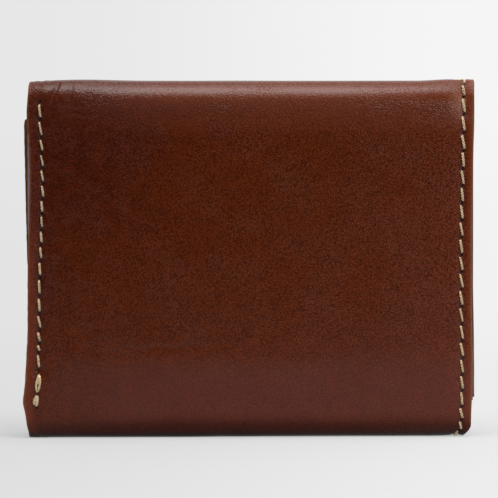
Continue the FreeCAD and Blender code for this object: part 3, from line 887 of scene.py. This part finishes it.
attach(strip("cover_front", front_rows, columns, 0, LEATHER, COVER),
       ("center", "top_spine"), TOP_FOLD,
       ("center_cover", "bottom_front_bend", "bottom_spine_cover", "top_front_bend", "top_spine_cover"))
attach(strip("cover_back", back_rows, columns, 0, LEATHER, COVER, high_end=True),
       ("top_spine", "outer_leaf"), REAR_FOLD, ("top_rear_bend", "outer_leaf_cover"))
attach(strip("cover_inner", inner_rows, columns, 0, LEATHER, COVER, low_end=True),
       ("center", "inner_leaf"), INNER_FOLD, ("bottom_rear_bend", "inner_leaf_cover"))

# ---- the lining, glued inside the cover ----
cloth_columns = np.concatenate([[LEFT + 0.05, LEFT + 0.09, LEFT + 0.2], steps((LEFT + 0.6, RIGHT - 0.7, 1.0)),
                                [RIGHT - 0.4, RIGHT - 0.29, RIGHT - 0.25]])


def lining_left(s):
    """The lining stops short of the leather's left edge, but for a stretch where that edge is hollow."""
    shows = smooth(s, 45, 51) * smooth(s, 77.5, 74)
    return (left_shift(s) + 0.75) * (1 - shows)


def lining(name, rows, bodies, fold, nodes):
    piece = strip(name, rows, cloth_columns, -LEATHER, LINING, CLOTH, surface=None, left=lining_left)
    attach(piece, bodies, fold, nodes)
    return piece


lining("lining_front", steps((0, S_FACE, 0.5), (S_FACE, S_TOP_BEND, 1.0), (S_TOP_BEND, S_SPINE_MIDDLE, 0.5)),
       ("center", "top_spine"), TOP_FOLD,
       ("center_lining", "bottom_front_bend_lining", "bottom_spine_lining", "top_front_bend_lining",
        "top_spine_lining"))
lining("lining_back",
       steps((S_SPINE_MIDDLE, S_LEAF, 0.5), (S_LEAF, S_LEAF + 7, 0.4), (S_LEAF + 7, S_END - 1, 1.0)),
       ("top_spine", "outer_leaf"), REAR_FOLD, ("top_rear_bend_lining", "outer_leaf_lining"))
lining("lining_inner", steps((S_INNER_END + 1, S_INNER, 1.0), (S_INNER, 0, 0.5)),
       ("center", "inner_leaf"), INNER_FOLD, ("bottom_rear_bend_lining", "inner_leaf_lining"))

# ---- seams through the cover ----
rng = np.random.default_rng(3)


def any_phase():
    """Where a stitch's plies start their twist."""
    return rng.uniform(0, 6.28)


def row_of(holes, seam, lean, radius=THREAD_R, unevenness=0.04, lift=0.3, short=0.34):
    """The stitches of one seam, hole to hole, upper end to the left on the front face."""
    tubes = []
    holes = np.sort(holes)
    for a, b in zip(holes[:-1], holes[1:]):
        wander = rng.normal(0, unevenness, 5)
        x0, x1 = (seam(a), seam(b)) if callable(seam) else (seam, seam)
        gap = short + wander[4] * 0.5
        # it lies lower where it goes over the top fold
        low = 0.2 * float(smooth(a, S_TOP_BEND + 1.5, S_TOP - 1)) * float(smooth(a, S_LEAF, S_REAR_BEND))
        tubes += stitch_rows((x0 + wander[0], a + gap), (x1 + wander[1], b - gap), -lean + wander[2],
                             lift=lift - low, radius=radius * (1 + wander[3] * 1.5), phase=any_phase())
    return tubes


def sew(name, tubes, bodies, fold, nodes, place=seam_surface):
    """Makes a seam's stitches into one piece."""
    attach(thread_object(name, tubes, place, THREAD), bodies, fold, nodes)


right = right_holes()
front_part = right[(right > -1.9) & (right < S_SPINE_MIDDLE + 1.9)]
back_part = right[right > front_part[-1] - 0.1]
inner_part = right[right < front_part[0] + 0.1]
LEAN = 0.3
sew("right_seam_front", row_of(front_part, right_seam, LEAN, lift=0.2), ("center", "top_spine"), TOP_FOLD,
    ("center_right_seam", "bottom_front_bend_seam", "bottom_spine_seam", "top_front_bend_seam",
     "top_spine_seam"))
sew("right_seam_back", row_of(back_part, right_seam, LEAN, lift=0.2), ("top_spine", "outer_leaf"), REAR_FOLD,
    ("top_rear_bend_seam", "outer_leaf_right_seam"))
sew("right_seam_inner", row_of(inner_part, right_seam, LEAN, lift=0.2), ("center", "inner_leaf"), INNER_FOLD,
    ("bottom_rear_bend_seam", "inner_leaf_right_seam"))

left_tubes = row_of(left_holes(), left_seam, 0.24, radius=0.29, unevenness=0.06, lift=0.2, short=0.45)
for (x0, up0), (x1, up1), bow in BACK_TACK:
    left_tubes += stitch_rows((LEFT_SEAM + x0, S_FACE + up0), (LEFT_SEAM + x1, S_FACE + up1), 0.0,
                              lift=0.18, radius=0.27, phase=any_phase(), bow=bow)
sew("left_seam_front", left_tubes, "center", None, ("center_left_seam",))
sew("left_seam_back", row_of(leaf_left_holes(), left_seam, LEAN), "outer_leaf", None,
    ("outer_leaf_left_seam",))
sew("left_seam_inner", row_of(inner_left_holes(), left_seam, LEAN), "inner_leaf", None,
    ("inner_leaf_left_seam",))


# ---- panels inside ----
def box_of(node):
    """Left, right, bottom, top, near depth and far depth of a node, in millimetres."""
    low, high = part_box(node)
    return (low.x / MM, high.x / MM, low.z / MM, high.z / MM, low.y / MM - FRONT_Y, high.y / MM - FRONT_Y)


def panel(node, body, facing, **extra):
    """Stands a shaped leather panel in a plain solid's place."""
    x0, x1, z0, z1, d0, d1 = box_of(node)
    if extra.get("skewed"):
        # the box of a turned panel is larger than the panel: take the turn back out
        c, n = math.cos(SKEW), math.sin(SKEW)
        w, h = x1 - x0, z1 - z0
        width = (w * c - h * n) / (c * c - n * n)
        height = (h * c - w * n) / (c * c - n * n)
        cx, cz = (x0 + x1) / 2, (z0 + z1) / 2 - LEAF_MIDDLE
        mx, mz = cx * c + cz * n, -cx * n + cz * c + LEAF_MIDDLE
        x0, x1, z0, z1 = mx - width / 2, mx + width / 2, mz - height / 2, mz + height / 2
    made = plate(node + "_piece", x0, x1, z0, z1, d0, d1, INNER, facing, **extra)
    attach(made, body, None, (node,))


def side_rows(x0, x1, z0, z1, pitch=RIGHT_PITCH):
    """Stitches up both sides of a panel."""
    tubes = []
    holes = np.arange(z0 + 0.6, z1 - 0.4, pitch)
    for seam in (x0 + 2.2, x1 - 2.2):
        tubes += row_of(holes, seam, 0.22, radius=0.3)
    return tubes


def card_pockets(body, facing, seed, dips):
    """A leaf's divider and its three card pockets, each lower than the one behind it and the last one sewn
    up both sides. dips holds each mouth's notch, as plate takes it without its middle."""
    panel(body + "_divider", body, facing, corners=(2, 0, 2, 0), seed=seed)
    for i, dip in enumerate(dips, 1):
        node = "%s_card_pocket_%d" % (body, i)
        x0, x1, z0, z1, d0, d1 = box_of(node)
        groove = [("z", z1 - 1.5)] + ([("x", x0 + 2.2), ("x", x1 - 2.2)] if i == len(dips) else [])
        panel(node, body, facing, corners=(0, 0, 1.5, 1.5), groove=groove,
              notch=((x0 + x1) / 2, *dip) if dip else None, seed=seed + 1 + i)
    face = d1 - 0.16 if facing > 0 else d0 + 0.16
    sew(body + "_pocket_stitches", side_rows(x0, x1, z0, z1), body, None, (body + "_pocket_seam",),
        lambda x, s, n: turned(x, face + facing * n, s, 0.0))


CROWNED_MOUTH, THUMB_NOTCH = (96, -0.6), (18, 5.5)
card_pockets("center", 1, 21, (CROWNED_MOUTH, CROWNED_MOUTH, THUMB_NOTCH))
card_pockets("inner_leaf", -1, 31, (None, None, None))

panel("outer_leaf_divider", "outer_leaf", -1, corners=(2, 0, 2, 0), skewed=True, seed=41)
panel("outer_leaf_pocket_back", "outer_leaf", -1, skewed=True, sunk=0.14, seed=42)
FRAME_X0, FRAME_X1 = -48.1, 50.9
FRAME_Z0, FRAME_Z1 = LEAF_BOTTOM + 0.8, LEAF_TOP - 2.0
ring_low, ring_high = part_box("outer_leaf_window_frame")
ring_d0, ring_d1 = ring_low.y / MM - FRONT_Y, ring_high.y / MM - FRONT_Y
window_frame = window_ring("outer_leaf_window_frame_piece",
                           (FRAME_X0, FRAME_X1, FRAME_Z0, FRAME_Z1, 1.5),
                           (FRAME_X0 + 9.5, FRAME_X1 - 9.5, FRAME_Z0 + 9.0, FRAME_Z1 - 8.5, 3.0),
                           ring_d0, ring_d1, INNER)
attach(window_frame, "outer_leaf", None, ("outer_leaf_window_frame",))
frame_tubes = side_rows(FRAME_X0, FRAME_X1, FRAME_Z0 + 2, FRAME_Z1)
sew("outer_leaf_frame_side_stitches", frame_tubes, "outer_leaf", None, ("outer_leaf_frame_seam",),
    lambda x, s, n: turned(x, ring_d0 + 0.2 - n, s))
low_tubes = row_of(np.arange(FRAME_X0 + 3.2, FRAME_X1 - 3.0, RIGHT_PITCH), FRAME_Z0 + 2.2, 0.22, radius=0.3)
sew("outer_leaf_frame_low_stitches", low_tubes, "outer_leaf", None, (),
    lambda x, s, n: turned(s, ring_d0 + 0.2 - n, x))

# ---- carried-over nodes with their own looks ----
LOOKS = {"center_right_welt": WELT, "inner_leaf_right_welt": WELT, "outer_leaf_right_welt": WELT,
         "outer_leaf_window_border": WELT, "outer_leaf_window": FILM}
for node, look in LOOKS.items():
    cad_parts[node].data.materials.clear()
    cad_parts[node].data.materials.append(look)

# ---- floor, light and camera ----
FLOOR_LEFT, FLOOR_RIGHT = (0.405, 0.405, 0.407), (0.465, 0.465, 0.467)
FRONT_AMBIENT, BACK_AMBIENT = 0.02, 0.5
floor_mesh = bpy.data.meshes.new("floor")
FLOOR_DROP = 0.00024
FLOOR_RISE = 0.0038  # the paper rises a little to the right
FLOOR_CORNERS = ((-2.5, -0.3), (2.5, -0.3), (2.5, 3), (-2.5, 3))
floor_mesh.from_pydata([(x, y, (x - LEFT * MM) * FLOOR_RISE - FLOOR_DROP) for x, y in FLOOR_CORNERS],
                       [], [(0, 1, 2, 3)])
floor = bpy.data.objects.new("floor", floor_mesh)
bpy.context.scene.collection.objects.link(floor)
f = Shader("floor_look")
spot = f.node("ShaderNodeTexCoord").outputs["Object"]
across, deep, _ = f.xyz(spot)
# painted light: the paper is lighter towards the right, where more light falls
paper_colour = f.mix(f.ramp(across, -0.07, 0.07), FLOOR_LEFT, FLOOR_RIGHT)
lit = f.node("ShaderNodeBsdfDiffuse", {"Color": paper_colour}).outputs[0]
# half the paper glows, painted light that lifts its shadows
glow_colour = f.mix(f.ramp(across, -0.07, 0.07), linear(223, 223, 223), linear(234, 234, 234))
glow = f.node("ShaderNodeEmission", {"Color": glow_colour}).outputs[0]
paper = f.node("ShaderNodeMixShader", {0: 0.5, 1: lit, 2: glow}).outputs[0]
# the paper fades into the backdrop's even tone some way off
far = f.math("MAXIMUM", f.ramp(f.math("ABSOLUTE", across), 0.5, 2.0), f.ramp(deep, 0.02, 0.55))
far = f.math("MAXIMUM", far, f.ramp(deep, -0.19, -0.22))
clear = f.node("ShaderNodeBsdfTransparent").outputs[0]
mixed = f.node("ShaderNodeMixShader", {0: far, 1: paper, 2: clear}).outputs[0]
f.node("ShaderNodeOutputMaterial", {0: mixed})
floor_mesh.materials.append(f.material)

world = bpy.data.worlds.new("studio")
bpy.context.scene.world = world
w = Shader(world)
toward = w.node("ShaderNodeTexCoord").outputs["Generated"]
toward_x, toward_y, toward_z = w.xyz(toward)
# painted light: the backdrop seen by the camera is lighter towards the right, where more light falls
rightward = w.ramp(toward_x, -0.045, 0.045)
high_tone = w.mix(rightward, linear(231, 231, 231), linear(245, 245, 245))
low_tone = w.mix(rightward, linear(227, 227, 227), linear(241, 241, 241))
backdrop = w.mix(w.ramp(toward_z, -0.012, -0.05), high_tone, low_tone)
dark_front = w.mix(w.ramp(toward_y, -0.2, 0.9), (FRONT_AMBIENT,) * 3, (BACK_AMBIENT,) * 3)
seen = w.node("ShaderNodeLightPath").outputs["Is Camera Ray"]
w.node("ShaderNodeOutputWorld",
       {0: w.node("ShaderNodeBackground", {0: w.mix(seen, dark_front, backdrop)}).outputs[0]})


def aimed(light, azimuth, elevation, distance=0.0, at=(0, 0, 0)):
    """Points a light at a place from a direction: azimuth from the front (-Y) towards the right (+X)."""
    bpy.context.scene.collection.objects.link(light)
    a, e = math.radians(azimuth), math.radians(elevation)
    toward = Vector((math.sin(a) * math.cos(e), -math.cos(a) * math.cos(e), math.sin(e)))
    light.location = Vector(at) + toward * distance
    light.rotation_mode = "QUATERNION"
    light.rotation_quaternion = toward.to_track_quat("Z", "Y")


def sun(name, strength, angle, azimuth, elevation):
    data = bpy.data.lights.new(name, "SUN")
    data.energy, data.angle = strength, math.radians(angle)
    aimed(bpy.data.objects.new(name, data), azimuth, elevation)


sun("overhead", 4.5, 60, 18, 75)
sun("fill", 0.5, 66, 12, 43)
sun("back", 0.5, 60, 170, 50)
side_data = bpy.data.lights.new("side", "AREA")
side_data.shape, side_data.size, side_data.size_y, side_data.energy = "RECTANGLE", 0.16, 0.3, 0.35
aimed(bpy.data.objects.new("side", side_data), 58, 25, 0.36, (0.03, FRONT_Y * MM, 0.05))

camera_data = bpy.data.cameras.new("camera")
camera = bpy.data.objects.new("camera", camera_data)
bpy.context.scene.collection.objects.link(camera)
DISTANCE = 1.2
ELEVATION = math.radians(2.5)
VIEW_WIDTH = 0.1139
camera_data.sensor_width = 36
camera_data.lens = 36 * DISTANCE / VIEW_WIDTH
aim = Vector((-0.00012, FRONT_Y * MM, 0.04319))
back_off = Vector((0, -math.cos(ELEVATION), math.sin(ELEVATION)))
camera.location = aim + back_off * DISTANCE
camera.rotation_mode = "QUATERNION"
camera.rotation_quaternion = (-back_off).to_track_quat("-Z", "Y")
camera_data.clip_start, camera_data.clip_end = 0.01, 50
bpy.context.scene.camera = camera
bpy.context.scene.view_settings.view_transform = "Standard"
